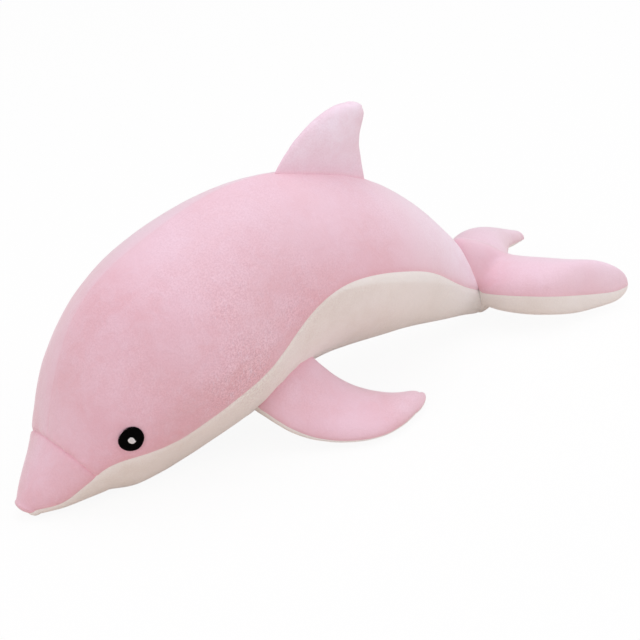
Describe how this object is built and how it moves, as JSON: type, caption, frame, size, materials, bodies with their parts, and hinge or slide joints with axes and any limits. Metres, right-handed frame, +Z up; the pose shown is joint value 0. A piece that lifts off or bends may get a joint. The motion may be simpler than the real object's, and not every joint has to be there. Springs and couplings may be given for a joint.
{
  "type": "plush dolphin",
  "caption": "Stuffed toy dolphin in pink and white plush, arched body lying on its chest, with sewn beak, dorsal fin, flippers, tail flukes and embroidered eyes.",
  "frame": {"origin": "on the floor under the middle of the toy's box", "axes": "-X towards the beak, +X towards the tail, -Y the toy's left side, +Z up from the surface it lies on"},
  "size_m": [0.7329, 0.282, 0.3058],
  "materials": {
    "pink_plush": "short brushed velvet pile",
    "white_plush": "short brushed velvet pile",
    "fibre_filling": "loose polyester fibre",
    "black_thread": "embroidery thread with a soft shine",
    "white_thread": "embroidery thread with a soft shine"
  },
  "bodies": {
    "root": {"side_panel_left": "pink_plush", "side_panel_right": "pink_plush", "beak_top_panel": "pink_plush", "belly_panel": "white_plush", "body_stuffing": "fibre_filling", "dorsal_fin_left_panel": "pink_plush", "dorsal_fin_right_panel": "pink_plush", "dorsal_fin_stuffing": "fibre_filling", "flipper_left_top": "pink_plush", "flipper_left_bottom": "white_plush", "flipper_left_stuffing": "fibre_filling", "flipper_right_top": "pink_plush", "flipper_right_bottom": "white_plush", "flipper_right_stuffing": "fibre_filling", "fluke_top_panel": "pink_plush", "fluke_bottom_panel": "white_plush", "fluke_stuffing": "fibre_filling", "eye_left": "black_thread", "eye_left_dot": "white_thread", "eye_right": "black_thread", "eye_right_dot": "white_thread"}
  },
  "joints": []
}
